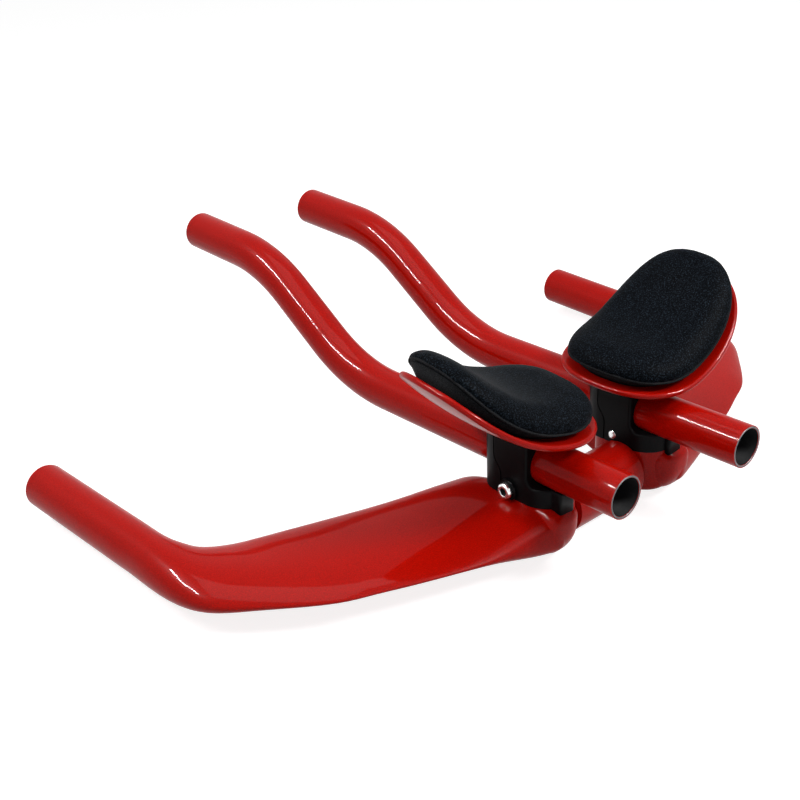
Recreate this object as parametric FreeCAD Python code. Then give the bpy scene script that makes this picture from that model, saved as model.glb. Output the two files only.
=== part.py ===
import FreeCAD, Part
import math
import os

os.makedirs("parts", exist_ok=True)
V = FreeCAD.Vector

# Frame: millimetres, origin in the middle of the stem land, X to the rider's right, Y forward, Z up.

# Base bar
LAND_R = 15.9
LAND_HALF = 24.7
NECK_R = 12.0
ROOT_X = 42.0
ROOT_ROUND = 10.0
WING_END_X = 157.0
GRIP_R = 12.0
GRIP_END = V(204.0, 203.4, 1.9)
GRIP_START = V(198.7, 100.0, 0.2)
GRIP_BLEND = 8.0
# Elbow rings: inner and outer corner from the grip's start (x, y each), top, low, edge rise
ELBOW = (
    (-27.7, -12.5, -10.7, -64.0, 7.8, 8.6, 1.25),
    (-19.2, -7.5, 4.3, -49.0, 9.6, 9.8, 1.13),
    (-14.7, -1.5, 10.8, -29.0, 11.3, 11.2, 1.04),
)
GRIP_BORE_R = 10.0
GRIP_BORE_DEPTH = 62.0
LEAD_EDGE_Y = 33.6
LEAD_SWEEP = 0.312
TRAIL_EDGE_Y = -26.0
TRAIL_BEND_X = 30.0
TRAIL_SWEEP = 0.0344
TRAIL_POWER = 1.45
WING_TOP = 6.5
WING_LOW = 8.0
ROOT_TOP = 13.3
ROOT_LOW = 12.0
SWELL_FROM_X = 50.0
SWELL_REACH = 30.0
ROUND_END = (1.0, 1.0)
LEAD_END = (0.92, 0.92)
THIN_END = (1.0, 1.35)
ROOT_END = (0.6, 0.6)

# Extensions
TUBE_R = 11.1
TUBE_WALL = 1.4
TUBE_X = 39.4
TUBE_Z = 32.0
TUBE_REAR_Y = -65.0
LEFT_SLIDE = 11.8
BEND_START_Y = 99.0
BEND_R = 95.0
BEND_ANGLE = 33.0
TIP_PITCH = 2.4
TIP_Y = 275.7
TIP_RISE = 53.6

# Brackets
BRACKET_HALF = 14.5
BRACKET_Z = 13.5
PEDESTAL_LOW = 10.5
PEDESTAL_ROUND = 4.0
FOOT_REAR_Y = -19.0
FOOT_FRONT_Y = 25.0
FOOT_TOP_Z = 23.5
COLLAR_REAR_Y = -4.5
COLLAR_FRONT_Y = 30.0
COLLAR_TOP_Z = 47.0
COLLAR_FILLET = 5.0
SLIT_WIDTH = 1.6
EDGE_ROUND = 1.2
TUBE_FIT = 0.0

# Screws
SCREW_R = 2.5
SCREW_CLEARANCE = 0.15
HEAD_R = 4.25
HEAD_H = 5.0
HEX_ACROSS = 4.0
LOW_HEAD_H = 2.8
WASHER_R = 5.0
WASHER_T = 0.8
SEAT_CLEARANCE = 0.4
SCREW_OFFSET = 8.0
PINCH_Y = 6.5
BOSS_R = 5.6
BOSS_H = 1.5
GROOVE_Y = -13.5
GROOVE_WIDTH = 0.8
GROOVE_DEPTH = 0.6
PINCH_Z = 17.9
CUP_SCREW_Y = 11.0
CUP_SCREW_BITE = 4.8
FOOT_SCREW_YS = (-11.0, 16.5)
FOOT_SCREW_BITE = 7.0
FOOT_SEAT_Z = -2.0
DRILL_PAST = 40.0

# Armrest: a trough of round section, tipped outward, on a place of its own
ARM_AT = V(50.2, 10.2, 59.8)
ARM_ROLL = 15.4
ARM_PITCH = 3.2
ARM_YAW = -4.4
TROUGH_R = 83.5
TROUGH_LEN = 400.0
DISH_SAG = 3.2
DISH_LEVEL_Y = 39.0
DISH_LEN = 60.0
PAD_THICK = 11.5
STRIP_THICK = 2.4
STRIP_FIT = 0.15
CUP_THICK = 3.0
PAD_OUT = 55.5
PAD_IN = 36.0
PAD_FRONT = 33.4
PAD_REAR = 35.6
PAD_POWER = 2.6
CUP_MARGIN = 4.0
CUP_OUT_MARGIN = 4.5
CUP_LIP = 1.3
SEAT_MARGIN = 1.0
PAD_ROUND = 5.5
EGG_BELOW = 60.0
STRIP_HALF_X = 22.0
STRIP_HALF_Y = 12.0
STRIP_Y = -18.0
CUP_FOOT_HALF_X = 13.0
CUP_FOOT_REAR_Y = -6.0
CUP_FOOT_FRONT_Y = 28.0


def cylinder(radius, start, end):
    axis = end - start
    return Part.makeCylinder(radius, axis.Length, start, axis)


def rounded_bar(half, rear_y, front_y, low_z, high_z, x):
    """An upright column with straight sides and two round ends."""
    left = V(x - half, rear_y + half, low_z)
    side = Part.makeBox(2 * half, front_y - rear_y - 2 * half, high_z - low_z, left)
    rear = Part.makeCylinder(half, high_z - low_z, V(x, rear_y + half, low_z))
    front = Part.makeCylinder(half, high_z - low_z, V(x, front_y - half, low_z))
    return side.fuse([rear, front]).removeSplitter()


def bent(value, power):
    return math.copysign(abs(value) ** power, value)


def oval(centre, along, up, half, top, low, ahead=ROUND_END, behind=ROUND_END, count=24):
    """Points once round an oval. top and low are its heights; ahead and behind shape its two ends:
    half x cos^reach along and height x sin^rise up, so a high rise gives a thin edge."""
    points = []
    for i in range(count + 1):
        a = 2 * math.pi * i / count
        reach, rise = ahead if math.cos(a) > 0 else behind
        height = top if math.sin(a) > 0 else low
        ahead_by = half * bent(math.cos(a), reach)
        up_by = height * bent(math.sin(a), rise)
        points.append(centre + along * ahead_by + up * up_by)
    return points


def skin(sections):
    """A solid with one smooth surface through rings of points and a flat cap at each end."""
    surface = Part.BSplineSurface()
    surface.interpolate(sections)
    side = surface.toShape()
    rings = [e for e in side.Edges if e.isClosed()]
    caps = [Part.Face(Part.Wire(ring)) for ring in rings]
    shell = Part.makeCompound([side] + caps)
    shell.sewShape()
    solid = Part.makeSolid(shell.Shells[0])
    if solid.Volume < 0:
        solid.reverse()
    return solid


def trail_y(x):
    """The trailing edge, straight near the middle and swept forward further out."""
    return TRAIL_EDGE_Y + TRAIL_SWEEP * max(0, x - TRAIL_BEND_X) ** TRAIL_POWER


def swell(x):
    """1 at the wing's root, falling smoothly to 0 further out."""
    return math.exp(-(max(0, x - SWELL_FROM_X) / SWELL_REACH) ** 2)


def wing_section(x, scale=1.0):
    """A wing section square to X: full and boxy at the root, thin-edged further out."""
    lead = LEAD_EDGE_Y + LEAD_SWEEP * x
    trail = trail_y(x)
    centre = V(x, (lead + trail) / 2, 0)
    half = scale * (lead - trail) / 2
    top = scale * (WING_TOP + (ROOT_TOP - WING_TOP) * swell(x))
    low = scale * (WING_LOW + (ROOT_LOW - WING_LOW) * swell(x))
    behind = [thin + (root - thin) * swell(x) for thin, root in zip(THIN_END, ROOT_END)]
    return oval(centre, V(0, 1, 0), V(0, 0, 1), half, top, low, LEAD_END, behind)


def elbow_section(inner, outer, top, low, rise):
    along = inner - outer
    half = along.Length / 2
    along.normalize()
    return oval((inner + outer) / 2, along, V(0, 0, 1), half, top, low, LEAD_END, (1.0, rise))


def half_bar():
    """The right wing and elbow, one smooth skin through sections along the span, and the grip."""
    grip_axis = (GRIP_END - GRIP_START).normalize()
    across = V(-grip_axis.y, grip_axis.x, 0).normalize()

    def grip_ring(distance):
        return oval(GRIP_START + grip_axis * distance, across, V(0, 0, 1), GRIP_R, GRIP_R, GRIP_R)

    def elbow(inner_x, inner_y, outer_x, outer_y, top, low, rise):
        inner = GRIP_START + V(inner_x, inner_y, -GRIP_START.z)
        outer = GRIP_START + V(outer_x, outer_y, -GRIP_START.z)
        return elbow_section(inner, outer, top, low, rise)

    nose = ((0, 0.78), (ROOT_ROUND / 8, 0.91), (ROOT_ROUND / 2.4, 0.985))
    sections = [wing_section(ROOT_X + step, scale) for step, scale in nose]
    first = ROOT_X + ROOT_ROUND
    pitch = (WING_END_X - first) / 7
    sections += [wing_section(first + i * pitch) for i in range(8)]
    sections += [elbow(*values) for values in ELBOW]
    grip_len = (GRIP_END - GRIP_START).Length
    step = (grip_len - GRIP_BLEND) / 7
    sections += [grip_ring(GRIP_BLEND + i * step) for i in range(8)]
    bore = cylinder(GRIP_BORE_R, GRIP_END - grip_axis * GRIP_BORE_DEPTH, GRIP_END + grip_axis * 5)
    return skin(sections).cut(bore)


def pedestal():
    """The block that a bracket stands on, where the wing grows out of the middle."""
    block = rounded_bar(BRACKET_HALF, FOOT_REAR_Y, FOOT_FRONT_Y, -PEDESTAL_LOW, BRACKET_Z, TUBE_X)
    under = [e for e in block.Edges if e.BoundBox.ZMax < 0]
    return block.makeFillet(PEDESTAL_ROUND, under)


def foot_screw_places():
    return [V(TUBE_X + SCREW_OFFSET, y, BRACKET_Z) for y in FOOT_SCREW_YS]


def foot_screw_holes():
    holes = []
    for p in foot_screw_places():
        holes.append(cylinder(SCREW_R + SCREW_CLEARANCE, V(p.x, p.y, -DRILL_PAST), p + V(0, 0, 1)))
        holes.append(cylinder(WASHER_R + SEAT_CLEARANCE, V(p.x, p.y, -DRILL_PAST), V(p.x, p.y, FOOT_SEAT_Z)))
    return holes


def mirrored(shape):
    return shape.mirror(V(0, 0, 0), V(1, 0, 0))


def base_bar():
    land = cylinder(LAND_R, V(-LAND_HALF, 0, 0), V(LAND_HALF, 0, 0))
    neck = cylinder(NECK_R, V(-TUBE_X, 0, 0), V(TUBE_X, 0, 0))
    right = half_bar().fuse(pedestal())
    for hole in foot_screw_holes():
        right = right.cut(hole)
    return land.fuse([neck, right, mirrored(right)]).removeSplitter()


def tube_path(x):
    """Straight, bend up, straight, bend back level and a short tip; the two straights are solved."""
    b = math.radians(BEND_ANGLE)
    p = math.radians(TIP_PITCH)
    run = TIP_Y - BEND_START_Y - BEND_R * (2 * math.sin(b) - math.sin(p))
    rise = TIP_RISE - BEND_R * (1 - 2 * math.cos(b) + math.cos(p))
    slope_len = (rise * math.cos(p) - run * math.sin(p)) / math.sin(b - p)
    tip_len = (run - slope_len * math.cos(b)) / math.cos(p)

    def at(y, z):
        return V(x, y, TUBE_Z + z)

    def turn(centre_y, centre_z, side, angle):
        return at(centre_y + side * BEND_R * math.sin(angle), centre_z - side * BEND_R * math.cos(angle))

    first = [turn(BEND_START_Y, BEND_R, 1, a) for a in (0, b / 2, b)]
    rise_end = first[2] + V(0, slope_len * math.cos(b), slope_len * math.sin(b))
    cy = rise_end.y + BEND_R * math.sin(b)
    cz = rise_end.z - TUBE_Z - BEND_R * math.cos(b)
    second = [turn(cy, cz, -1, a) for a in (b, (b + p) / 2, p)]
    tip = second[2] + V(0, tip_len * math.cos(p), tip_len * math.sin(p))
    edges = [
        Part.makeLine(at(TUBE_REAR_Y, 0), first[0]),
        Part.Arc(*first).toShape(),
        Part.makeLine(first[2], second[0]),
        Part.Arc(*second).toShape(),
        Part.makeLine(second[2], tip),
    ]
    return Part.Wire(edges)


def extension():
    path = tube_path(TUBE_X)
    start = V(TUBE_X, TUBE_REAR_Y, TUBE_Z)

    def swept(radius):
        ring = Part.Wire(Part.makeCircle(radius, start, V(0, 1, 0)))
        return path.makePipeShell([ring], True, False)

    return swept(TUBE_R).cut(swept(TUBE_R - TUBE_WALL))


def front_wave(shift):
    """The front edge's curve, from the foot's front up to the collar's, moved back or forward."""
    low = V(0, FOOT_FRONT_Y + shift, TUBE_Z - 9)
    middle = V(0, (FOOT_FRONT_Y + COLLAR_FRONT_Y) / 2 + shift, TUBE_Z - 3)
    high = V(0, COLLAR_FRONT_Y + shift, TUBE_Z + 3)
    wave = Part.BSplineCurve()
    wave.interpolate(Points=[low, middle, high], Tangents=[V(0, 0, 1), V(0, 1, 1), V(0, 0, 1)],
                     TangentFlags=[True, False, True])
    return low, wave.toShape(), high


def groove(face_x):
    """A fine line down a side face, parallel to the front edge."""
    low, wave, high = front_wave(GROOVE_Y)
    bottom = V(0, low.y, BRACKET_Z)
    top = V(0, high.y, COLLAR_TOP_Z)
    path = Part.Wire([Part.makeLine(bottom, low), wave, Part.makeLine(high, top)])
    ribbon = path.extrude(V(0, GROOVE_WIDTH, 0))
    slot = ribbon.Faces[0].extrude(V(2 * GROOVE_DEPTH, 0, 0))
    for face in ribbon.Faces[1:]:
        slot = slot.fuse(face.extrude(V(2 * GROOVE_DEPTH, 0, 0)))
    slot.translate(V(face_x - GROOVE_DEPTH, 0, 0))
    return slot


def bracket_profile():
    """The side view: a foot that reaches back and a collar that leans forward over it."""
    low, wave, high = front_wave(0)
    inner = V(0, COLLAR_REAR_Y - COLLAR_FILLET, FOOT_TOP_Z)
    upper = V(0, COLLAR_REAR_Y, FOOT_TOP_Z + COLLAR_FILLET)
    hollow = COLLAR_FILLET * (1 - math.sqrt(0.5))
    middle = V(0, COLLAR_REAR_Y - hollow, FOOT_TOP_Z + hollow)
    corners = [V(0, COLLAR_FRONT_Y, COLLAR_TOP_Z), V(0, COLLAR_REAR_Y, COLLAR_TOP_Z)]
    rear_top = V(0, FOOT_REAR_Y, FOOT_TOP_Z)
    rear_low = V(0, FOOT_REAR_Y, BRACKET_Z)
    front_low = V(0, FOOT_FRONT_Y, BRACKET_Z)
    edges = [
        Part.makeLine(front_low, low),
        wave,
        Part.makeLine(high, corners[0]),
        Part.makeLine(corners[0], corners[1]),
        Part.makeLine(corners[1], upper),
        Part.Arc(upper, middle, inner).toShape(),
        Part.makeLine(inner, rear_top),
        Part.makeLine(rear_top, rear_low),
        Part.makeLine(rear_low, front_low),
    ]
    return Part.Face(Part.Wire(edges))


def pinch_ends():
    inner = V(TUBE_X - BRACKET_HALF, PINCH_Y, PINCH_Z)
    outer = V(TUBE_X + BRACKET_HALF + BOSS_H, PINCH_Y, PINCH_Z)
    return inner, outer


def cup_screw_places():
    return [V(TUBE_X + side * SCREW_OFFSET, CUP_SCREW_Y, COLLAR_TOP_Z) for side in (-1, 1)]


def softened(body):
    """Rounds the bracket's edges between its base and its top."""

    def inside(edge):
        box = edge.BoundBox
        return box.ZMin > BRACKET_Z + EDGE_ROUND / 10 and box.ZMax < COLLAR_TOP_Z - EDGE_ROUND / 10

    return body.makeFillet(EDGE_ROUND, [e for e in body.Edges if inside(e)])


def bracket():
    profile = bracket_profile()
    profile.translate(V(TUBE_X - BRACKET_HALF, 0, 0))
    block = profile.extrude(V(2 * BRACKET_HALF, 0, 0))
    column = rounded_bar(BRACKET_HALF, FOOT_REAR_Y, COLLAR_FRONT_Y, BRACKET_Z, COLLAR_TOP_Z, TUBE_X)
    body = softened(block.common(column).removeSplitter().Solids[0])
    for face_x in (TUBE_X - BRACKET_HALF, TUBE_X + BRACKET_HALF):
        body = body.cut(groove(face_x))
    boss_end = pinch_ends()[1]
    body = body.fuse(cylinder(BOSS_R, boss_end - V(BOSS_H + 2, 0, 0), boss_end))
    below = Part.makeBox(60, 120, BRACKET_Z, V(TUBE_X - 30, -60, 0))
    body = body.cut(below)
    bore_r = TUBE_R + TUBE_FIT
    body = body.cut(cylinder(bore_r, V(TUBE_X, -60, TUBE_Z), V(TUBE_X, 60, TUBE_Z)))
    slit_from = V(TUBE_X - SLIT_WIDTH / 2, -60, BRACKET_Z - 1)
    body = body.cut(Part.makeBox(SLIT_WIDTH, 120, TUBE_Z - BRACKET_Z, slit_from))
    inner, outer = pinch_ends()
    body = body.cut(cylinder(SCREW_R, inner - V(5, 0, 0), outer))
    middle = V(TUBE_X, PINCH_Y, PINCH_Z)
    body = body.cut(cylinder(SCREW_R + SCREW_CLEARANCE, middle, outer + V(5, 0, 0)))
    for p in foot_screw_places():
        body = body.cut(cylinder(SCREW_R, p - V(0, 0, 2), p + V(0, 0, FOOT_SCREW_BITE)))
    for p in cup_screw_places():
        body = body.cut(cylinder(SCREW_R, p - V(0, 0, CUP_SCREW_BITE), p + V(0, 0, 2)))
    return body.removeSplitter()


def screw(tip, seat, head_h):
    """A hex-socket screw from its tip to its head seat, the head beyond the seat."""
    axis = (seat - tip).normalize()
    shank = cylinder(SCREW_R, tip, seat)
    head = cylinder(HEAD_R, seat, seat + axis * head_h)
    socket = Part.Wire(Part.makePolygon(hexagon(seat + axis * head_h, axis)))
    depth = head_h * 0.6
    return shank.fuse(head).cut(Part.Face(socket).extrude(axis * -depth)).removeSplitter()


def hexagon(centre, axis):
    side = V(0, 1, 0)
    other = axis.cross(side)
    r = HEX_ACROSS / math.sqrt(3)
    angles = [math.radians(60 * i) for i in range(7)]
    return [centre + side * (r * math.cos(a)) + other * (r * math.sin(a)) for a in angles]


def washer(low_seat, axis):
    ring = cylinder(WASHER_R, low_seat, low_seat + axis * WASHER_T)
    return ring.cut(cylinder(SCREW_R, low_seat - axis, low_seat + axis * (WASHER_T + 1)))


def pinch_bolt():
    inner, outer = pinch_ends()
    return screw(inner, outer, HEAD_H)


def bracket_bolts():
    bolts = []
    for p in foot_screw_places():
        seat = V(p.x, p.y, FOOT_SEAT_Z - WASHER_T)
        bolts.append(screw(p + V(0, 0, FOOT_SCREW_BITE), seat, HEAD_H))
    return Part.Compound(bolts)


def bracket_washers():
    return Part.Compound([washer(V(p.x, p.y, FOOT_SEAT_Z), V(0, 0, -1)) for p in foot_screw_places()])


def arm_place(shape):
    """Moves a shape from the trough's own frame (X out, Y forward, Z up) to the bar's frame."""
    shape.rotate(V(0, 0, 0), V(0, 1, 0), -ARM_ROLL)
    shape.rotate(V(0, 0, 0), V(1, 0, 0), ARM_PITCH)
    shape.rotate(V(0, 0, 0), V(0, 0, 1), -ARM_YAW)
    shape.translate(ARM_AT)
    return shape


def trough_rod(radius):
    """A long rod on the trough's axis; the trough's surfaces are rods of several radii."""
    return Part.makeCylinder(radius, TROUGH_LEN, V(0, -TROUGH_LEN / 2, TROUGH_R), V(0, 1, 0))


def dish(radius):
    """A barrel on the trough's axis: deeper than a rod in the middle and level with it at the rims."""
    high = radius + DISH_SAG - DISH_SAG * (DISH_LEN / DISH_LEVEL_Y) ** 2
    ends = [V(0, -DISH_LEN, TROUGH_R), V(0, DISH_LEN, TROUGH_R)]
    deep = V(0, 0, TROUGH_R - radius - DISH_SAG)
    rim = [V(0, -DISH_LEN, TROUGH_R - high), deep, V(0, DISH_LEN, TROUGH_R - high)]
    edges = [
        Part.Arc(*rim).toShape(),
        Part.makeLine(rim[2], ends[1]),
        Part.makeLine(ends[1], ends[0]),
        Part.makeLine(ends[0], rim[0]),
    ]
    barrel = Part.Face(Part.Wire(edges)).revolve(ends[0], V(0, 1, 0), 360)
    return Part.makeSolid(barrel.Shells[0])


def egg(margin):
    """The outline seen along the trough's own up direction, four quarter superellipses."""
    points = []
    count = 28
    for i in range(count):
        a = 2 * math.pi * i / count
        c = math.copysign(abs(math.cos(a)) ** (2 / PAD_POWER), math.cos(a))
        s = math.copysign(abs(math.sin(a)) ** (2 / PAD_POWER), math.sin(a))
        side = PAD_OUT + margin * CUP_OUT_MARGIN / CUP_MARGIN if c > 0 else PAD_IN + margin
        x = c * side
        y = s * ((PAD_FRONT if s > 0 else PAD_REAR) + margin)
        points.append(V(x, y, -EGG_BELOW))
    curve = Part.BSplineCurve()
    curve.interpolate(Points=points, PeriodicFlag=True)
    return Part.Face(Part.Wire(curve.toShape()))


def trough_piece(outer, inner, margin):
    """What lies between two round bodies, cut to the egg's outline."""
    shell = outer.cut(inner)
    piece = shell.common(egg(margin).extrude(V(0, 0, EGG_BELOW + TROUGH_R)))
    return piece.Solids[0]


def rims(piece):
    """The two closed edges round an armrest piece, the lower one first; the short seam is left out."""
    closed = [e for e in piece.Edges if e.Length > PAD_REAR]
    return sorted(closed, key=lambda e: e.BoundBox.Center.z)


def cup_head_seat():
    """Height of the screw seats, far enough down for the heads to clear the strip and pad."""
    return COLLAR_TOP_Z + 2.2


def armrest_cup():
    inner_r = TROUGH_R + STRIP_THICK
    shell = trough_piece(dish(inner_r + CUP_THICK), dish(inner_r), CUP_MARGIN)
    cup = arm_place(shell.makeFillet(CUP_LIP, rims(shell)))
    foot = rounded_bar(CUP_FOOT_HALF_X, CUP_FOOT_REAR_Y, CUP_FOOT_FRONT_Y, COLLAR_TOP_Z, 70, TUBE_X)
    foot = foot.cut(arm_place(dish(inner_r)))
    ends = (COLLAR_REAR_Y - SEAT_MARGIN, COLLAR_FRONT_Y + SEAT_MARGIN)
    seat_half = BRACKET_HALF + SEAT_MARGIN
    cup = cup.fuse(foot).cut(rounded_bar(seat_half, *ends, BRACKET_Z, COLLAR_TOP_Z, TUBE_X))
    for p in cup_screw_places():
        cup = cup.fuse(cylinder(WASHER_R + SEAT_MARGIN, p, V(p.x, p.y, cup_head_seat())))
    for p in cup_screw_places():
        cup = cup.cut(cylinder(SCREW_R + SCREW_CLEARANCE, p - V(0, 0, 1), p + V(0, 0, 30)))
        seat = V(p.x, p.y, cup_head_seat())
        cup = cup.cut(cylinder(WASHER_R + SEAT_CLEARANCE, seat, seat + V(0, 0, 30)))
    return cup.removeSplitter()


def cup_bolts():
    bolts = []
    for p in cup_screw_places():
        seat = V(p.x, p.y, cup_head_seat() + WASHER_T)
        bolts.append(screw(p - V(0, 0, CUP_SCREW_BITE), seat, LOW_HEAD_H))
    return Part.Compound(bolts)


def cup_washers():
    return Part.Compound([washer(V(p.x, p.y, cup_head_seat()), V(0, 0, 1)) for p in cup_screw_places()])


def arm_pad():
    block = trough_piece(trough_rod(TROUGH_R), trough_rod(TROUGH_R - PAD_THICK), 0)
    return arm_place(block.makeFillet(PAD_ROUND, rims(block)[-1:]))


def pad_strip():
    shell = dish(TROUGH_R + STRIP_THICK - STRIP_FIT).cut(trough_rod(TROUGH_R + STRIP_FIT))
    size = (2 * STRIP_HALF_X, 2 * STRIP_HALF_Y, TROUGH_R)
    window = Part.makeBox(*size, V(-STRIP_HALF_X, STRIP_Y - STRIP_HALF_Y, -20))
    return arm_place(shell.common(window))


def save(name, shape):
    shape.exportStep("parts/" + name + ".step")


RIGHT_PIECES = {
    "bracket": bracket,
    "pinch_bolt": pinch_bolt,
    "bracket_bolts": bracket_bolts,
    "bracket_washers": bracket_washers,
    "armrest_cup": armrest_cup,
    "cup_bolts": cup_bolts,
    "cup_washers": cup_washers,
    "pad_strip": pad_strip,
    "arm_pad": arm_pad,
}

save("base_bar", base_bar())
for piece, make in RIGHT_PIECES.items():
    solid = make()
    save("right_" + piece, solid)
    save("left_" + piece, mirrored(solid))
tube = extension()
save("right_extension", tube)
left_tube = mirrored(tube)
left_tube.translate(V(0, LEFT_SLIDE, 0))
save("left_extension", left_tube)
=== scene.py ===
# %% [markdown]
# An aerobar is a wing-shaped handlebar with two tubes that reach forward and two padded cups for the
# forearms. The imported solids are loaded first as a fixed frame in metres. All that follows dresses
# that frame, in its own axes: X to the rider's right, Y forward and Z up, with the origin in the
# middle of the stem land.

# %% Frame
import math

import bmesh
import bpy
import numpy as np
from mathutils import Matrix, Vector


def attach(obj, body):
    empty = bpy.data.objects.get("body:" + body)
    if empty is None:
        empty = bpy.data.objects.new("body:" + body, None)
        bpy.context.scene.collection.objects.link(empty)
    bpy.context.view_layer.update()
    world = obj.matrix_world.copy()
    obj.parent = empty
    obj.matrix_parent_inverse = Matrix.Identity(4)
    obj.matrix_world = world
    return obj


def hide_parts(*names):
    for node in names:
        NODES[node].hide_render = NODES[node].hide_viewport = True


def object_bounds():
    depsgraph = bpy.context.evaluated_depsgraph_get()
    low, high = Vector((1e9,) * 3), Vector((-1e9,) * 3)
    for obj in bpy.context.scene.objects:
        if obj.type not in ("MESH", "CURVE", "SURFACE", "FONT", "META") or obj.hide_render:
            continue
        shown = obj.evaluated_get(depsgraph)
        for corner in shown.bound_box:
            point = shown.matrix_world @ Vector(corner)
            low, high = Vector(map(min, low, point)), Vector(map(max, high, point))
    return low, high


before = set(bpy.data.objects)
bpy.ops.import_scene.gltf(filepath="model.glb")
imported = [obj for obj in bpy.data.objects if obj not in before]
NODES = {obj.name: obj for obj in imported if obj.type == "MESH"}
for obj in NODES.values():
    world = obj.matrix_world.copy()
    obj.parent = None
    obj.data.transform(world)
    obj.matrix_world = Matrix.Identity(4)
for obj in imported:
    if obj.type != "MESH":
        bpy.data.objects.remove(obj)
cad_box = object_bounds()
MM = 0.001
SIDES = (("right", 1), ("left", -1))
print("frame", sorted(NODES), cad_box)

# %% [markdown]
# Each new surface is a grid of points worked out as one array. These helpers join neighbours into
# quads, close the grid where it runs round, and merge the points of a ring that has shrunk to
# nothing. Smooth shading makes the gloss run without steps.

# %% Grid surfaces
SAME_POINT = 2e-6
NO_LENGTH = 1e-7


def grid_faces(rows, cols, wrap_rows, wrap_cols, offset=0):
    """Quads between neighbours of a rows by cols grid: (i, j), (i+1, j), (i+1, j+1), (i, j+1)."""
    i = np.arange(rows if wrap_rows else rows - 1)
    j = np.arange(cols if wrap_cols else cols - 1)
    i, j = np.meshgrid(i, j, indexing="ij")
    i2 = (i + 1) % rows
    j2 = (j + 1) % cols
    quads = np.stack([i * cols + j, i2 * cols + j, i2 * cols + j2, i * cols + j2], -1)
    return quads.reshape(-1, 4) + offset


def make_piece(name, patches, material):
    """One mesh from several grids, each (points, wrap_rows, wrap_cols), with outward faces."""
    verts = []
    faces = []
    count = 0
    for points, wrap_rows, wrap_cols in patches:
        rows, cols = points.shape[:2]
        verts.append(points.reshape(-1, 3))
        faces.append(grid_faces(rows, cols, wrap_rows, wrap_cols, count))
        count += rows * cols
    mesh = bpy.data.meshes.new(name)
    mesh.from_pydata(np.concatenate(verts).tolist(), [], np.concatenate(faces).tolist())
    merge_and_turn(mesh)
    mesh.shade_smooth()
    mesh.materials.append(material)
    piece = bpy.data.objects.new(name, mesh)
    bpy.context.scene.collection.objects.link(piece)
    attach(piece, "root")
    print(name, len(mesh.vertices), "points")
    return piece


def mirrored(points, side):
    """Points in millimetres for the right side, in metres for either one."""
    return points * (side * MM, MM, MM)


def merge_and_turn(mesh):
    """Joins points that lie together, drops faces without area and turns faces outward."""
    bm = bmesh.new()
    bm.from_mesh(mesh)
    bmesh.ops.remove_doubles(bm, verts=bm.verts, dist=SAME_POINT)
    bmesh.ops.dissolve_degenerate(bm, edges=bm.edges, dist=NO_LENGTH)
    bmesh.ops.recalc_face_normals(bm, faces=bm.faces)
    bm.to_mesh(mesh)
    bm.free()


# %% [markdown]
# The finishes share one effect: a fine speckle and a broad cloud that break up colour and gloss. It
# is a node group with named sockets, so each finish sets its own grain sizes. The group gives two
# values only.

# %% Shared effects


def new_group(name, inputs, outputs):
    """An empty shader group with its sockets, and its two end nodes."""
    group = bpy.data.node_groups.new(name, "ShaderNodeTree")
    for label, kind, value in inputs:
        socket = group.interface.new_socket(label, in_out="INPUT", socket_type=kind)
        socket.default_value = value
    for label, kind in outputs:
        group.interface.new_socket(label, in_out="OUTPUT", socket_type=kind)
    enter = group.nodes.new("NodeGroupInput")
    leave = group.nodes.new("NodeGroupOutput")
    return group, enter, leave


def node(tree, kind, **values):
    """A new node with some of its settings."""
    made = tree.nodes.new(kind)
    for key, value in values.items():
        setattr(made, key, value)
    return made


def grain_group():
    """Two noises: a fine speckle (flake, fibre or tooling grain) and a broad cloud (uneven coat)."""
    group, enter, leave = new_group(
        "fine_grain",
        [("Vector", "NodeSocketVector", (0, 0, 0)), ("Fine Scale", "NodeSocketFloat", 2500.0),
         ("Broad Scale", "NodeSocketFloat", 40.0)],
        [("Fine", "NodeSocketFloat"), ("Broad", "NodeSocketFloat")])
    for label, scale, detail in (("Fine", "Fine Scale", 2.0), ("Broad", "Broad Scale", 4.0)):
        noise = node(group, "ShaderNodeTexNoise")
        noise.inputs["Detail"].default_value = detail
        group.links.new(enter.outputs["Vector"], noise.inputs["Vector"])
        group.links.new(enter.outputs[scale], noise.inputs["Scale"])
        group.links.new(noise.outputs["Fac"], leave.inputs[label])
    return group


GRAIN = grain_group()

# %% [markdown]
# The red parts are painted and clear-coated: the paint carries a faint flake, and the coat gives the
# sharp white strips of the lamps. The brackets are black alloy, the screws bright steel and the pads
# a dark knit. Values that stay the same all over sit on the shader's own sockets.

# %% Finishes


def start_material(name):
    """A new material, its nodes, its shader and its object coordinates."""
    material = bpy.data.materials.new(name)
    material.use_nodes = True
    tree = material.node_tree
    shader = tree.nodes["Principled BSDF"]
    coords = node(tree, "ShaderNodeTexCoord")
    return material, tree, shader, coords


def place_grain(tree, coords, fine, broad):
    """The shared grain at two sizes, in cells per metre."""
    grain = node(tree, "ShaderNodeGroup", node_tree=GRAIN)
    grain.inputs["Fine Scale"].default_value = fine
    grain.inputs["Broad Scale"].default_value = broad
    tree.links.new(coords.outputs["Object"], grain.inputs["Vector"])
    return grain


def ramp(tree, source, dark, light, low, high):
    """Colour between two stops of a value."""
    made = node(tree, "ShaderNodeValToRGB")
    made.color_ramp.elements[0].position = low
    made.color_ramp.elements[0].color = (*dark, 1)
    made.color_ramp.elements[1].position = high
    made.color_ramp.elements[1].color = (*light, 1)
    tree.links.new(source, made.inputs["Fac"])
    return made.outputs["Color"]


def span(tree, source, low, high):
    """A value from 0..1 spread over low..high."""
    made = node(tree, "ShaderNodeMapRange")
    made.inputs["To Min"].default_value = low
    made.inputs["To Max"].default_value = high
    tree.links.new(source, made.inputs["Value"])
    return made.outputs["Result"]


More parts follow.
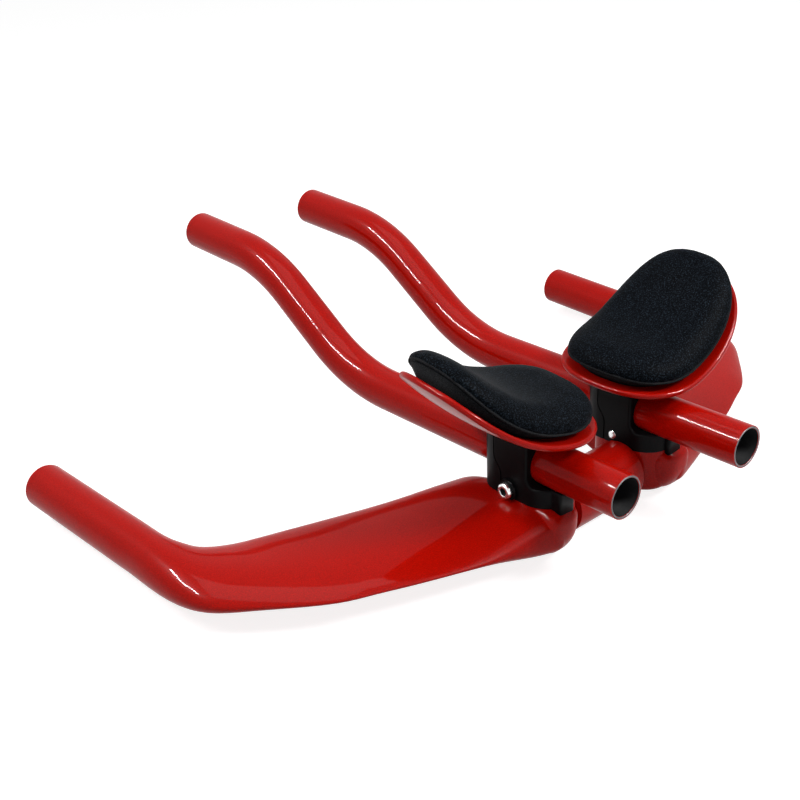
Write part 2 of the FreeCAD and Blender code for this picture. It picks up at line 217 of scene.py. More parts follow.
def bump(tree, source, distance, strength):
    """A normal from a height, distance metres high."""
    made = node(tree, "ShaderNodeBump")
    made.inputs["Strength"].default_value = strength
    made.inputs["Distance"].default_value = distance
    tree.links.new(source, made.inputs["Height"])
    return made.outputs["Normal"]


def red_gloss():
    """Flake in the base colour, under a thin smooth coat."""
    material, tree, shader, coords = start_material("red_gloss")
    grain = place_grain(tree, coords, fine=1700.0, broad=26.0)
    dark, light = (0.325, 0.0026, 0.0003), (0.535, 0.0042, 0.0006)
    colour = ramp(tree, grain.outputs["Fine"], dark, light, low=0.3, high=0.72)
    tree.links.new(colour, shader.inputs["Base Color"])
    tree.links.new(span(tree, grain.outputs["Broad"], low=0.26, high=0.36), shader.inputs["Roughness"])
    shader.inputs["Coat Weight"].default_value = 0.2
    shader.inputs["Coat Roughness"].default_value = 0.02
    shader.inputs["Coat IOR"].default_value = 1.42
    shader.inputs["Specular IOR Level"].default_value = 0.02
    return material


def black_alloy():
    """Anodised metal with a very fine blasted grain."""
    material, tree, shader, coords = start_material("black_alloy")
    grain = place_grain(tree, coords, fine=3200.0, broad=60.0)
    dark, light = (0.0022, 0.0022, 0.0026), (0.0048, 0.0048, 0.0055)
    colour = ramp(tree, grain.outputs["Broad"], dark, light, low=0.3, high=0.7)
    tree.links.new(colour, shader.inputs["Base Color"])
    tree.links.new(span(tree, grain.outputs["Broad"], low=0.36, high=0.50), shader.inputs["Roughness"])
    normal = bump(tree, grain.outputs["Fine"], distance=0.00003, strength=0.5)
    tree.links.new(normal, shader.inputs["Normal"])
    shader.inputs["Specular IOR Level"].default_value = 0.05
    return material


def bright_steel():
    """Polished steel with slightly uneven gloss."""
    material, tree, shader, coords = start_material("bright_steel")
    grain = place_grain(tree, coords, fine=1800.0, broad=300.0)
    dark, light = (0.74, 0.74, 0.75), (0.88, 0.88, 0.88)
    colour = ramp(tree, grain.outputs["Broad"], dark, light, low=0.3, high=0.7)
    tree.links.new(colour, shader.inputs["Base Color"])
    tree.links.new(span(tree, grain.outputs["Fine"], low=0.16, high=0.30), shader.inputs["Roughness"])
    shader.inputs["Metallic"].default_value = 1.0
    return material


def pad_knit():
    """Knit loops about 0.7 mm apart: small cells raise the loops, a noise scatters pale fibres."""
    material, tree, shader, coords = start_material("pad_knit")
    grain = place_grain(tree, coords, fine=1550.0, broad=90.0)
    loops = node(tree, "ShaderNodeTexVoronoi", feature="SMOOTH_F1")
    loops.inputs["Scale"].default_value = 1350.0
    loops.inputs["Smoothness"].default_value = 0.6
    tree.links.new(coords.outputs["Object"], loops.inputs["Vector"])
    dark, light = (0.0005, 0.0011, 0.0019), (0.020, 0.029, 0.041)
    colour = ramp(tree, grain.outputs["Fine"], dark, light, low=0.49, high=0.76)
    tree.links.new(colour, shader.inputs["Base Color"])
    tree.links.new(span(tree, grain.outputs["Broad"], low=0.50, high=0.62), shader.inputs["Roughness"])
    normal = bump(tree, loops.outputs["Distance"], distance=0.00022, strength=0.8)
    tree.links.new(normal, shader.inputs["Normal"])
    shader.inputs["Specular IOR Level"].default_value = 0.01
    shader.inputs["Sheen Weight"].default_value = 0.02
    shader.inputs["Sheen Roughness"].default_value = 0.45
    return material


def welt_cloth():
    """The plain cloth of the welt and the backing."""
    material, tree, shader, coords = start_material("welt_cloth")
    grain = place_grain(tree, coords, fine=1900.0, broad=200.0)
    dark, light = (0.003, 0.0034, 0.004), (0.022, 0.024, 0.027)
    colour = ramp(tree, grain.outputs["Fine"], dark, light, low=0.35, high=0.75)
    tree.links.new(colour, shader.inputs["Base Color"])
    normal = bump(tree, grain.outputs["Fine"], distance=0.0002, strength=0.8)
    tree.links.new(normal, shader.inputs["Normal"])
    shader.inputs["Roughness"].default_value = 0.8
    shader.inputs["Specular IOR Level"].default_value = 0.05
    return material


def bore_black_and_socket_shade():
    """The unpainted inside of the tubes and grip bores, dark and dull; in the screw sockets the same dark
    is painted shade.
    """
    material, tree, shader, coords = start_material("bore_black_and_socket_shade")
    grain = place_grain(tree, coords, fine=900.0, broad=120.0)
    dark, light = (0.002, 0.002, 0.0024), (0.006, 0.006, 0.0065)
    colour = ramp(tree, grain.outputs["Broad"], dark, light, low=0.3, high=0.7)
    tree.links.new(colour, shader.inputs["Base Color"])
    tree.links.new(span(tree, grain.outputs["Fine"], low=0.6, high=0.8), shader.inputs["Roughness"])
    shader.inputs["Specular IOR Level"].default_value = 0.06
    return material


def cut_edge():
    """The bare ring at a tube's sawn end."""
    material, tree, shader, coords = start_material("cut_edge")
    grain = place_grain(tree, coords, fine=2400.0, broad=400.0)
    dark, light = (0.07, 0.07, 0.074), (0.15, 0.15, 0.158)
    colour = ramp(tree, grain.outputs["Broad"], dark, light, low=0.3, high=0.7)
    tree.links.new(colour, shader.inputs["Base Color"])
    tree.links.new(span(tree, grain.outputs["Fine"], low=0.35, high=0.55), shader.inputs["Roughness"])
    shader.inputs["Metallic"].default_value = 0.6
    return material


RED = red_gloss()
BLACK = black_alloy()
STEEL = bright_steel()
KNIT = pad_knit()
WELT = welt_cloth()
# Dark finish of the tube and grip bores, also painted shade inside the screw sockets
BORE_DARK_AND_SOCKET_SHADE = bore_black_and_socket_shade()
EDGE = cut_edge()


def dress(node_name, material):
    """Gives a CAD node's object one finish."""
    obj = NODES[node_name]
    obj.data.materials.clear()
    obj.data.materials.append(material)


def dress_solids():
    """The solids that stay in view; the others are replaced further down."""
    dress("base_bar", RED)
    for name, _ in SIDES:
        dress(name + "_bracket", BLACK)
        for screw in ("cup_bolts", "cup_washers", "bracket_bolts", "bracket_washers"):
            dress(name + "_" + screw, STEEL)
        for red_part in ("extension", "armrest_cup"):
            dress(name + "_" + red_part, RED)


dress_solids()

# %% [markdown]
# The forearms rest in a trough of round section, tipped so that its outer side is higher. A pad is
# cut flat as an egg and bent into that trough, so its points are worked out in the flat first and
# then wrapped round the trough's axis. Forms are worked out in millimetres and become metres when
# they are placed.

# %% Armrest places
ARM_AT = np.array([50.2, 10.2, 59.8])
ARM_ROLL = math.radians(15.4)
ARM_PITCH = math.radians(3.2)
ARM_YAW = math.radians(-4.4)
TROUGH_R = 83.5
PAD_OUT, PAD_IN, PAD_FRONT, PAD_REAR = 64.5, 38.2, 33.4, 35.6
PAD_POWER = 2.6
EGG_STEPS = 96


def signed_power(values, power):
    """A power that keeps the sign."""
    return np.sign(values) * np.abs(values) ** power


def flat_egg(angle):
    """The flat outline: side x cos^(2/power), length x sin^(2/power), each end with its own reach."""
    c = signed_power(np.cos(angle), 2 / PAD_POWER)
    s = signed_power(np.sin(angle), 2 / PAD_POWER)
    return np.where(c > 0, PAD_OUT, PAD_IN) * c, np.where(s > 0, PAD_FRONT, PAD_REAR) * s


def wrap(across, along, height):
    """Bends flat points round the trough: (R - h) sin(a / R), along, R - (R - h) cos(a / R)."""
    turn = across / TROUGH_R
    reach = TROUGH_R - height
    return np.stack([reach * np.sin(turn), along, TROUGH_R - reach * np.cos(turn)], -1)


def arm_axes():
    """Columns: the trough's outward, forward and upward directions, from roll, pitch and yaw in turn."""
    roll = Matrix.Rotation(-ARM_ROLL, 3, "Y")
    pitch = Matrix.Rotation(ARM_PITCH, 3, "X")
    yaw = Matrix.Rotation(-ARM_YAW, 3, "Z")
    return np.array(yaw @ pitch @ roll)


ARM_AXES = arm_axes()


def to_bar(points, side):
    """From the trough's frame to the bar's, in metres; side -1 mirrors it."""
    return mirrored(points @ ARM_AXES.T + ARM_AT, side)


def to_trough(points, side):
    """The way back from the bar's frame to the trough's."""
    return (points / (side * MM, MM, MM) - ARM_AT) @ ARM_AXES


# %% [markdown]
# The pad is foam in a knit cover, closed by a seam near its lower edge. Its rings run from the middle
# of the top over a round shoulder to the seam and back along the flat underside. The closed form is
# then remeshed and blown up a little by a cloth simulation, held at the underside, so that the cover
# looks stretched over foam.

# %% Pads
PAD_EDGE, PAD_CROWN, PAD_SEAM = 10.6, 0.6, 3.0
PAD_GROW = 1.02
TOP_SHARE, SHOULDER_SHARE = 0.84, 0.16
SEAM_SHARES, SEAM_HEIGHTS = (0.995, 0.975), (1.4, 0.3)
BELOW_SHARE, UNDERSIDE = 0.96, 0.1
VOXEL = 2.2
COVER_REACH = 1.6
COVER_STEPS, COVER_QUALITY = 15, 5
COVER_PRESSURE, COVER_MASS = 4.0, 0.15
HELD_BELOW, FREE_OVER = 1.5, 3.0
RELAX_ROUNDS, RELAX_STEP, RELAX_LEAST = 6, 0.6, 0.35


def pad_grid():
    """Rings of the pad: the top at edge + crown x (1 - r^2), a quarter-round shoulder, a flat base."""
    angle = np.linspace(0, 2 * np.pi, EGG_STEPS, endpoint=False)
    across, along = (PAD_GROW * reach for reach in flat_egg(angle))
    inner = np.linspace(0.0, TOP_SHARE, 14)
    bend = np.linspace(0, np.pi / 2, 11)[1:]
    below = np.linspace(BELOW_SHARE, 0, 9)
    top = PAD_EDGE + PAD_CROWN * (1 - (inner / TOP_SHARE) ** 2)
    shoulder = PAD_SEAM + (PAD_EDGE - PAD_SEAM) * np.cos(bend)
    scale = np.concatenate([inner, TOP_SHARE + SHOULDER_SHARE * np.sin(bend), SEAM_SHARES, below])
    height = np.concatenate([top, shoulder, SEAM_HEIGHTS, np.full(len(below), UNDERSIDE)])
    return wrap(scale[:, None] * across, scale[:, None] * along, height[:, None] + 0 * across)


def blow_up(piece, side):
    """Remesh, then cloth with inner pressure; a point moves COVER_REACH at most and the base stays put."""
    remesh = piece.modifiers.new("even", "REMESH")
    remesh.mode = "VOXEL"
    remesh.voxel_size = VOXEL * MM
    bake(piece)
    rest = points_of(piece.data)
    local = to_trough(rest, side)
    height = TROUGH_R - np.hypot(local[:, 0], TROUGH_R - local[:, 2])
    free = np.clip((height - HELD_BELOW) / FREE_OVER, 0, 1)
    inflate(piece)
    move = points_of(piece.data) - rest
    length = np.linalg.norm(move, axis=1, keepdims=True)
    move *= np.minimum(1, COVER_REACH * MM / np.maximum(length, 1e-9)) * free[:, None]
    put_points(piece.data, rest + move)
    relax(piece, free)
    smooth = piece.modifiers.new("finer", "SUBSURF")
    smooth.levels = smooth.render_levels = 1
    bake(piece)
    piece.data.shade_smooth()


def inflate(piece):
    """A few steps of cloth under inner pressure, without gravity."""
    cloth = piece.modifiers.new("cover", "CLOTH")
    cloth.settings.quality = COVER_QUALITY
    cloth.settings.use_pressure = True
    cloth.settings.uniform_pressure_force = COVER_PRESSURE
    cloth.settings.mass = COVER_MASS
    cloth.settings.effector_weights.gravity = 0.0
    for step in range(1, COVER_STEPS + 1):
        bpy.context.scene.frame_set(step)
    bake(piece)
    bpy.context.scene.frame_set(1)


def bake(piece):
    """Turns a piece's modifiers into its mesh."""
    graph = bpy.context.evaluated_depsgraph_get()
    made = bpy.data.meshes.new_from_object(piece.evaluated_get(graph))
    piece.modifiers.clear()
    piece.data = made


def points_of(mesh):
    """A mesh's points as rows of an array."""
    flat = np.empty(len(mesh.vertices) * 3)
    mesh.vertices.foreach_get("co", flat)
    return flat.reshape(-1, 3)


def put_points(mesh, points):
    """Writes rows of an array back as a mesh's points."""
    mesh.vertices.foreach_set("co", points.ravel())
    mesh.update()


def relax(piece, weight):
    """Each point moves toward the mean of its neighbours, by its weight, to take out voxel steps."""
    mesh = piece.data
    pairs = np.empty(len(mesh.edges) * 2, dtype=np.int64)
    mesh.edges.foreach_get("vertices", pairs)
    a, b = pairs.reshape(-1, 2).T
    points = points_of(mesh)
    count = np.bincount(np.concatenate([a, b]), minlength=len(points))[:, None]
    share = RELAX_STEP * np.maximum(weight, RELAX_LEAST)[:, None]
    for _ in range(RELAX_ROUNDS):
        total = np.zeros_like(points)
        np.add.at(total, a, points[b])
        np.add.at(total, b, points[a])
        points += (total / np.maximum(count, 1) - points) * share
    put_points(mesh, points)


def make_pads():
    """A blown-up cover in place of each plain pad."""
    for name, side in SIDES:
        rings = to_bar(pad_grid(), side)
        pad = make_piece(name + "_pad_cover", [(rings, False, True)], KNIT)
        blow_up(pad, side)
        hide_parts(name + "_arm_pad")


make_pads()

# %% [markdown]
# A thin welt runs round the pad's lower edge, where the cover is sewn to its backing. Its two ends
# are tucked in at the front outer corner.

# %% Welts
WELT_R, WELT_LIFT, WELT_SHARE = 0.65, 0.9, 0.985
TUCK_R, TUCK_TALL, TUCK_LIFT, TUCK_SHARE = 1.8, 1.6, 2.4, 0.975
TUCK_ANGLE = math.radians(38)


def welt_grid():
    """A tube round the outline: ring points at lift + r sin(t) up and r cos(t) outward."""
    angle = np.linspace(0, 2 * np.pi, 200, endpoint=False)
    turn = np.linspace(0, 2 * np.pi, 12, endpoint=False)
    across, along = (WELT_SHARE * reach for reach in flat_egg(angle))
    size = np.hypot(across, along)
    grow = 1 + (WELT_R * np.cos(turn)[None, :]) / size[:, None]
    height = WELT_LIFT + WELT_R * np.sin(turn)[None, :] + 0 * grow
    return wrap(across[:, None] * grow, along[:, None] * grow, height)


def tuck_grid():
    """A small egg on the outline: r sin(u) across and along, lift + tall cos(u) up."""
    angle = np.linspace(0, 2 * np.pi, 20, endpoint=False)[None, :]
    down = np.linspace(0, np.pi, 12)[:, None]
    across, along = (TUCK_SHARE * reach for reach in flat_egg(np.array([TUCK_ANGLE])))
    x = across + TUCK_R * np.sin(down) * np.cos(angle)
    y = along + TUCK_R * np.sin(down) * np.sin(angle)
    return wrap(x, y, TUCK_LIFT + TUCK_TALL * np.cos(down) + 0 * angle)


def make_welts():
    """The welt and its tuck as one piece for each pad."""
    for name, side in SIDES:
        welt = to_bar(welt_grid(), side)
        tuck = to_bar(tuck_grid(), side)
        make_piece(name + "_pad_welt", [(welt, True, True), (tuck, False, True)], WELT)


make_welts()

# %% [markdown]
# A dark backing fills the space between a pad and its cup. The cup is dished, so the backing is
# thickest in the middle: its underside lies 2.4 mm below the trough at the rims and 3.2 mm more at
# the deepest place, less a small clearance. Its edge slopes in from the pad's outline to the cup.

# %% Backings
CUP_GAP, DISH_SAG, DISH_LEVEL_Y = 2.4, 3.2, 39.0
CUP_CLEAR, BACKING_TOP = 0.25, 0.05
UPPER_REACH, LOWER_REACH = 0.96, 0.80
BACKING_RINGS = 8


def backing_grid():
    """Rings out along the top and back along the underside, gap + sag (1 - (y / level)^2) - clear deep."""
    angle = np.linspace(0, 2 * np.pi, EGG_STEPS, endpoint=False)
    across, along = flat_egg(angle)
    out = np.linspace(0, UPPER_REACH, BACKING_RINGS)
    back = np.linspace(LOWER_REACH, 0, BACKING_RINGS)
    reach = np.concatenate([out, back])[:, None]
    x, y = reach * across, reach * along
    deep = CUP_GAP + DISH_SAG * (1 - (y / DISH_LEVEL_Y) ** 2) - CUP_CLEAR
    lower = (np.arange(2 * BACKING_RINGS) >= BACKING_RINGS)[:, None]
    return wrap(x, y, np.where(lower, -deep, BACKING_TOP))


def make_backings():
    """A backing in place of each plain strip."""
    for name, side in SIDES:
        rings = to_bar(backing_grid(), side)
        backing = make_piece(name + "_pad_backing", [(rings, False, True)], WELT)
        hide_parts(name + "_pad_strip")


make_backings()

# %% [markdown]
# The tubes are painted outside only. Each gets a thin dark lining and a bare ring at its sawn ends.
# Both follow the tube's own line: straight, a bend up, a straight rise, a bend back and a short tip.
# The two inner straights follow from where the tip has to end. The grips have blind bores, lined the
# same way.

# %% Tube linings
TUBE_X, TUBE_Z, TUBE_REAR_Y = 39.4, 32.0, -65.0
TUBE_R, TUBE_WALL = 11.1, 1.4
LEFT_SLIDE = 11.8
BEND_START_Y, BEND_R = 99.0, 95.0
BEND, PITCH = math.radians(33.0), math.radians(2.4)
TIP_Y, TIP_RISE = 275.7, 53.6
GRIP_END = np.array([204.0, 203.4, 1.9])
GRIP_START = np.array([198.7, 100.0, 0.2])
GRIP_R, GRIP_BORE_R, GRIP_BORE_DEPTH = 12.0, 10.0, 62.0
LINING_OUT, LINING_IN, LINING_INSET = 0.03, 0.25, 0.3
RING_PROUD, RING_SUNK = 0.05, -0.15
TUBE_RING_IN, TUBE_RING_OUT = 0.1, 0.5
GRIP_RING_IN, GRIP_RING_OUT = 0.05, 0.3
GRIP_STOPS, BLIND_GAP = (20.0, 40.0), 0.1


def tube_line():
    """(y, z, slope) along the tube's axis; two unknown straights solve the tip's place."""
    run = TIP_Y - BEND_START_Y - BEND_R * (2 * math.sin(BEND) - math.sin(PITCH))
    rise = TIP_RISE - BEND_R * (1 - 2 * math.cos(BEND) + math.cos(PITCH))
    slope_len = (rise * math.cos(PITCH) - run * math.sin(PITCH)) / math.sin(BEND - PITCH)
    first = np.linspace(0, BEND, 20)
    second = np.linspace(BEND, PITCH, 20)
    y1 = BEND_START_Y + BEND_R * np.sin(first)
    z1 = BEND_R * (1 - np.cos(first))
    y2 = y1[-1] + slope_len * math.cos(BEND) + BEND_R * (math.sin(BEND) - np.sin(second))
    z2 = z1[-1] + slope_len * math.sin(BEND) + BEND_R * (np.cos(second) - math.cos(BEND))
    y = np.concatenate([[TUBE_REAR_Y], y1, y2, [TIP_Y]])
    z = np.concatenate([[0], z1, z2, [TIP_RISE]])
    slope = np.concatenate([[0], first, second, [PITCH]])
    return y, z + TUBE_Z, slope


def ring_rows(centres, side_axis, up_axes, radius, count=48):
    """Rings of one radius round a line of centres."""
    turn = np.linspace(0, 2 * np.pi, count, endpoint=False)
    flat = np.cos(turn)[None, :, None] * side_axis
    tall = np.sin(turn)[None, :, None] * up_axes[:, None, :]
    return centres[:, None, :] + radius * (flat + tall)


def lining(centres, side_axis, up_axes, outer, inner):
    """A closed thin sleeve: out along one radius and back along a smaller one."""
    out = ring_rows(centres, side_axis, up_axes, outer)
    back = ring_rows(centres, side_axis, up_axes, inner)[::-1]
    return np.concatenate([out, back])


def end_ring(centre, ahead, side_axis, up_axis, inner, outer):
    """A flat ring that caps a tube's wall and stands a little proud of it."""
    steps = np.array([RING_PROUD, RING_PROUD, RING_SUNK, RING_SUNK])
    radii = (inner, outer, outer, inner)
    ups = np.array([up_axis])
    rows = [ring_rows(np.array([centre + ahead * d]), side_axis, ups, r) for d, r in zip(steps, radii)]
    return np.concatenate(rows)


def make_linings():
    """For each side the tube's lining, the rings at its two ends, and the grip's own."""
    y, z, slope = tube_line()
    side_axis = np.array([1.0, 0, 0])
    ups = np.stack([0 * slope, -np.sin(slope), np.cos(slope)], -1)
    bore_r = TUBE_R - TUBE_WALL
    for name, side in SIDES:
        slide = LEFT_SLIDE if side < 0 else 0.0
        centres = np.stack([np.full_like(y, TUBE_X), y + slide, z], -1)
        inset = centres.copy()
        inset[0, 1] += LINING_INSET
        inset[-1, 1] -= LINING_INSET
        sleeve = mirrored(lining(inset, side_axis, ups, bore_r - LINING_OUT, bore_r - LINING_IN), side)
        make_piece(name + "_extension_lining", [(sleeve, True, True)], BORE_DARK_AND_SOCKET_SHADE)
        ends = []
        for at, way in ((0, -1), (-1, 1)):
            ahead = way * np.array([0, math.cos(slope[at]), math.sin(slope[at])])
            inner, outer = bore_r + TUBE_RING_IN, TUBE_R - TUBE_RING_OUT
            ring = end_ring(centres[at], ahead, side_axis, ups[at], inner, outer)
            ends.append((mirrored(ring, side), True, True))
        make_piece(name + "_extension_cut_ends", ends, EDGE)
        make_grip_lining(name, side)


def make_grip_lining(name, side):
    """The grip's blind bore, lined to its end, and the bare ring round its mouth."""
    ahead = (GRIP_END - GRIP_START) / np.linalg.norm(GRIP_END - GRIP_START)
    side_axis = np.cross(ahead, [0, 0, 1.0])
    side_axis /= np.linalg.norm(side_axis)
    up = np.cross(side_axis, ahead)
    end = GRIP_BORE_DEPTH - BLIND_GAP
    depth = np.array([LINING_INSET, *GRIP_STOPS, end, end])
    centres = GRIP_END - depth[:, None] * ahead
    ups = np.repeat(up[None, :], len(depth), 0)
    wall = ring_rows(centres, side_axis, ups, GRIP_BORE_R - LINING_OUT)
    wall[-1] = centres[-1]
    skin = ring_rows(centres, side_axis, ups, GRIP_BORE_R - LINING_IN)
    skin[-2:] += ahead * LINING_IN
    skin[-1] = centres[-1] + ahead * LINING_IN
    sleeve = mirrored(np.concatenate([wall[::-1], skin]), side)
    make_piece(name + "_grip_lining", [(sleeve, False, True)], BORE_DARK_AND_SOCKET_SHADE)
    inner, outer = GRIP_BORE_R + GRIP_RING_IN, GRIP_R - GRIP_RING_OUT
    ring = mirrored(end_ring(GRIP_END, ahead, side_axis, up, inner, outer), side)
    make_piece(name + "_grip_cut_end", [(ring, True, True)], EDGE)


make_linings()

# %% [markdown]
# The clamp screw of each bracket has a domed head with a hexagon socket. It is turned about a line
# along X, from the tip that shows on the inner side to the head outside. A thin dark cup in the
# socket is painted shade, standing in for the shade in the recess of the bright steel.

# %% Clamp screws
CLAMP_Y, CLAMP_Z = 6.5, 17.9
TIP_X, HEAD_X = 24.9, 55.4
SHANK_R, SOCKET_FLAT = 2.5, 2.0
# Rings from the tip or from the head's seat: way along X, then radius or share of the hexagon
TIP_RINGS = ((0, 0), (0, 2.0), (0.05, 2.1), (0.4, SHANK_R), (1.0, SHANK_R))
DOME_RINGS = ((0, 2.5), (0.02, 4.1), (0.1, 4.2), (1.3, 4.2),
              (1.9, 4.12), (2.5, 3.75), (2.8, 3.2), (2.86, 2.7))
SOCKET_RINGS = ((2.86, 1.04), (2.8, 1.0), (0.9, 1.0), (0.82, 0.95), (0.7, 0))
# A dark cup inside the hexagon socket: painted shade for the recess of the steel screw
SOCKET_SHADE_RINGS = ((0.92, 0), (0.92, 0.98), (2.6, 0.98), (2.6, 0.9), (1.1, 0.9), (1.1, 0))
SCREW_TURN = np.linspace(0, 2 * np.pi, 72, endpoint=False)
ROUND = 1 + 0 * SCREW_TURN
# A hexagon's radius is flat / cos(angle from the middle of its side)
HEXAGON = SOCKET_FLAT / np.cos(np.mod(SCREW_TURN, np.pi / 3) - np.pi / 6)


def screw_rows(*runs):
    """Rings (x, r cos(t), r sin(t)) round the screw's axis; each run is a start, a form and its rings."""
    x = np.array([start + ring[0] for start, _, rings in runs for ring in rings])
    r = np.array([ring[1] * form for _, form, rings in runs for ring in rings])
    y = CLAMP_Y + r * np.cos(SCREW_TURN)
    return np.stack([x[:, None] + 0 * r, y, CLAMP_Z + r * np.sin(SCREW_TURN)], -1)


def make_clamp_screws():
    """A turned screw in place of each plain one, and a dark cup in its socket as painted shade."""
    socket_shade_rows = screw_rows((HEAD_X, HEXAGON, SOCKET_SHADE_RINGS))
    rows = screw_rows(
        (TIP_X, ROUND, TIP_RINGS), (HEAD_X, ROUND, DOME_RINGS), (HEAD_X, HEXAGON, SOCKET_RINGS))
    for name, side in SIDES:
        socket_shade = mirrored(socket_shade_rows, side)
        # Painted shade: a dark cup darkens the inside of the steel socket
        make_piece(name + "_socket_painted_shade", [(socket_shade, False, True)], BORE_DARK_AND_SOCKET_SHADE)
        screw = make_piece(name + "_clamp_screw", [(mirrored(rows, side), False, True)], STEEL)
        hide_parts(name + "_pinch_bolt")


make_clamp_screws()

# %% [markdown]
# A bracket's foot ends in a square tab at the rear, and the wing's root below it has a rounded
# corner. Both are rounded rectangles in plan. The tab's top dips under the tube. The root has a round
# shoulder, and its wall leans in a little toward its lower edge.

# %% Root corners
TAB_X, TAB_HALF, TAB_REAR_Y, TAB_POWER = 42.6, 5.6, -21.5, 8.0
TAB_TOP, TAB_BASE = 23.5, 11.0
TAB_EDGE = ((0.95, 0.0), (0.975, 0.25), (0.99, 0.6), (1.0, 1.2))
TAB_TOP_REACH, TAB_BASE_REACH = 0.9, 0.98
TAB_TOP_RINGS, TAB_BASE_RINGS = 10, 6
TUBE_CLEAR = 0.1
TO_BASE = 99.0
ROOT_X, ROOT_OUT, ROOT_IN, ROOT_REAR_Y = 45.6, 9.2, 13.5, -24.1
ROOT_OUT_POWER, ROOT_IN_POWER = 3.6, 2.5
ROOT_TOP, ROOT_LOW, SHOULDER = 13.4, -9.0, 6.5
SHOULDER_FROM, SHOULDER_WIDE, WALL_LEAN = 0.55, 0.45, 0.22
CROWN_SHARES, BASE_SHARES = (0, 0.3), (0.4, 0)
CORNER_FRONT_Y = -5.0
CORNER_TURN = np.linspace(0, 2 * np.pi, 120, endpoint=False)


def square_ring(half, rear, power):
    """A rounded rectangle: half cos^(2/power) across and (front - rear) / 2 sin^(2/power) along."""
    x = half * signed_power(np.cos(CORNER_TURN), 2 / power)
    y = (CORNER_FRONT_Y - rear) / 2 * signed_power(np.sin(CORNER_TURN), 2 / power)
    return x, y + (CORNER_FRONT_Y + rear) / 2


def tab_grid():
    """Rings out over the top, down the wall and in along the base; the top stays under the tube."""
    share, fall = np.array(TAB_EDGE).T
    out = np.linspace(0, TAB_TOP_REACH, TAB_TOP_RINGS)
    back = np.linspace(TAB_BASE_REACH, 0, TAB_BASE_RINGS)
    scale = np.concatenate([out, share, [1.0], back])[:, None]
    drop = np.concatenate([0 * out, fall, [TO_BASE], 0 * back + TO_BASE])[:, None]
    x, y = square_ring(TAB_HALF, TAB_REAR_Y, TAB_POWER)
    middle = (TAB_REAR_Y + CORNER_FRONT_Y) / 2
    x = TAB_X + scale * x
    y = middle + scale * (y - middle)
    under_tube = TUBE_Z - np.sqrt(np.maximum((TUBE_R + TUBE_CLEAR) ** 2 - (x - TUBE_X) ** 2, 0))
    top = np.minimum(TAB_TOP, under_tube)
    return np.stack([x, y, np.maximum(top - drop, TAB_BASE)], -1)


def root_grid():
    """Rings out over a shoulder, from + wide sin(t) of the width, and down a wall drawn in by lean s^3."""
    t = np.linspace(0, np.pi / 2, 12)
    s = np.linspace(0, 1, 14)[1:]
    waist = ROOT_TOP - SHOULDER
    over = SHOULDER_FROM + SHOULDER_WIDE * np.sin(t)
    share = np.concatenate([CROWN_SHARES, over, 1 - WALL_LEAN * s ** 3, BASE_SHARES])[:, None]
    down = [waist + SHOULDER * np.cos(t), waist + s * (ROOT_LOW - waist)]
    height = np.concatenate([[ROOT_TOP, ROOT_TOP], *down, [ROOT_LOW, ROOT_LOW]])[:, None]
    outside = np.cos(CORNER_TURN) > 0
    power = np.where(outside, ROOT_OUT_POWER, ROOT_IN_POWER)
    x, y = square_ring(np.where(outside, ROOT_OUT, ROOT_IN), ROOT_REAR_Y, power)
    y = CORNER_FRONT_Y + share * (y - CORNER_FRONT_Y)
    return np.stack([ROOT_X + share * x, y, height + 0 * CORNER_TURN], -1)


def make_roots():
    """The tab and the root corner of each side."""
    for name, side in SIDES:
        tab = mirrored(tab_grid(), side)
        make_piece(name + "_foot_end", [(tab, False, True)], BLACK)
        root = mirrored(root_grid(), side)
        make_piece(name + "_root_corner", [(root, False, True)], RED)


make_roots()

# %% [markdown]
# The photograph's camera was found from the tubes' edges. It looks forward, down and to the right
# from behind the left side, with a slight roll. The camera's axes are built from its direction and
# roll.

# %% Camera
CAMERA_AT = Vector((-421.1, -340.2, 315.2)) * MM
LOOK = Vector((0.5867, 0.6798, -0.4401)).normalized()
ROLL = math.radians(2.44)
LENS, SENSOR, NEAR = 53.446, 36.0, 0.01


def make_camera():
    """A camera with its X and Y axes turned by the roll round its line of sight."""
    right = LOOK.cross(Vector((0, 0, 1))).normalized()
    down = LOOK.cross(right)
    turned = right * math.cos(ROLL) + down * math.sin(ROLL)
    up = right * math.sin(ROLL) - down * math.cos(ROLL)
    data = bpy.data.cameras.new("photo_camera")
    data.lens = LENS
    data.sensor_width = SENSOR
    data.clip_start = NEAR
    camera = bpy.data.objects.new("photo_camera", data)
    axes = Matrix((turned, up, -LOOK)).transposed().to_4x4()
    camera.matrix_world = Matrix.Translation(CAMERA_AT) @ axes
    bpy.context.scene.collection.objects.link(camera)
    bpy.context.scene.camera = camera


make_camera()

# %% [markdown]
# The studio is a pale floor just under the bar, a white world and soft lamps. Floor and world look
# white to the camera and in reflections, but light the bar only a little. Two of the lamps show in
# the gloss alone, as sharp white strips, and add no light to any colour.

# %% Studio
FLOOR_GAP = 0.0005
FLOOR_Z = cad_box[0][2] - FLOOR_GAP
FLOOR_HALF, FLOOR_GREY, FLOOR_GLOW = 60.0, 0.48, 0.84
WORLD_LIGHT = 0.26
# Name, place, aim, size, power and whether it shows in the gloss alone
LAMPS = (
    ("top_box", (-0.1, 0.15, 1.3), (0, 0.05, 0), (1.0, 0.7), 5.0, False),
    ("left_strip", (-0.70, 0.45, 0.86), (-0.05, 0.0, 0.02), (0.60, 0.06), 4.2, False),
    ("rear_box", (0.36, -0.72, 0.88), (-0.05, 0.0, 0.0), (0.30, 0.24), 7.0, False),
    ("left_gleam", (-0.67, 0.43, 0.82), (-0.05, 0.0, 0.02), (0.55, 0.07), 23.0, True),
    ("rear_gleam", (0.33, -0.68, 0.84), (-0.05, 0.0, 0.0), (0.34, 0.28), 42.0, True),
)


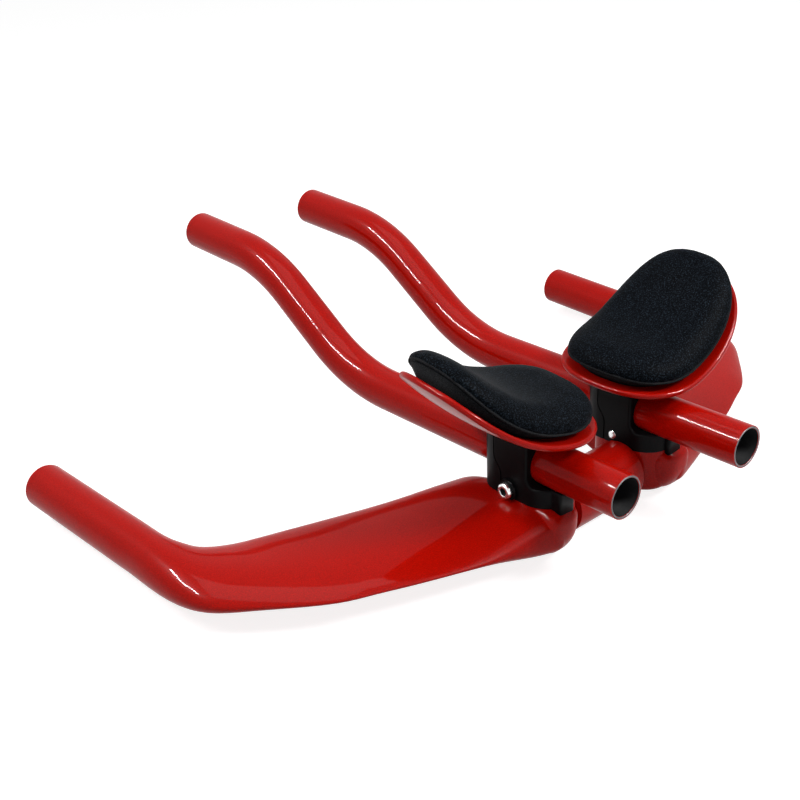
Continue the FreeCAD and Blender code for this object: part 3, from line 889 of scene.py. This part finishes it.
def seen_directly(tree):
    """1 for rays from the camera, from reflections and through glass; 0 for light on a surface."""
    path = node(tree, "ShaderNodeLightPath")
    value = path.outputs["Is Camera Ray"]
    for label in ("Is Glossy Ray", "Is Transmission Ray"):
        either = node(tree, "ShaderNodeMath", operation="MAXIMUM")
        tree.links.new(value, either.inputs[0])
        tree.links.new(path.outputs[label], either.inputs[1])
        value = either.outputs["Value"]
    return value


def floor_white():
    """White paper: it takes shadows, and adds a glow that only the camera and reflections see."""
    material, tree, shader, _ = start_material("floor_white")
    shader.inputs["Base Color"].default_value = (FLOOR_GREY, FLOOR_GREY, FLOOR_GREY, 1)
    shader.inputs["Roughness"].default_value = 0.9
    shader.inputs["Specular IOR Level"].default_value = 0.0
    shader.inputs["Emission Color"].default_value = (1, 1, 1, 1)
    tree.links.new(span(tree, seen_directly(tree), 0.0, FLOOR_GLOW), shader.inputs["Emission Strength"])
    return material


def make_floor():
    """A flat square, FLOOR_GAP below the bar."""
    steps = np.linspace(-FLOOR_HALF, FLOOR_HALF, 3)
    x, y = np.meshgrid(steps, steps, indexing="ij")
    points = np.stack([x, y, np.full_like(x, FLOOR_Z)], -1)
    mesh = bpy.data.meshes.new("floor")
    mesh.from_pydata(points.reshape(-1, 3).tolist(), [], grid_faces(3, 3, False, False).tolist())
    mesh.materials.append(floor_white())
    floor = bpy.data.objects.new("floor", mesh)
    bpy.context.scene.collection.objects.link(floor)


def soft_lamp(name, at, aim, size, power, gleam_only):
    """A flat rectangular lamp that faces a point."""
    data = bpy.data.lights.new(name, "AREA")
    data.shape = "RECTANGLE"
    data.size, data.size_y = size
    data.energy = power
    lamp = bpy.data.objects.new(name, data)
    direction = Vector(aim) - Vector(at)
    lamp.location = at
    lamp.rotation_euler = direction.to_track_quat("-Z", "Y").to_euler()
    lamp.visible_diffuse = not gleam_only
    bpy.context.scene.collection.objects.link(lamp)


def make_world():
    """White where it is seen, and a faint even light elsewhere."""
    world = bpy.data.worlds.new("studio")
    world.use_nodes = True
    tree = world.node_tree
    background = tree.nodes["Background"]
    background.inputs["Color"].default_value = (1.0, 1.0, 1.0, 1)
    tree.links.new(span(tree, seen_directly(tree), WORLD_LIGHT, 1.0), background.inputs["Strength"])
    bpy.context.scene.world = world


make_floor()
make_world()
for lamp_values in LAMPS:
    soft_lamp(*lamp_values)
bpy.context.scene.view_settings.view_transform = "Standard"
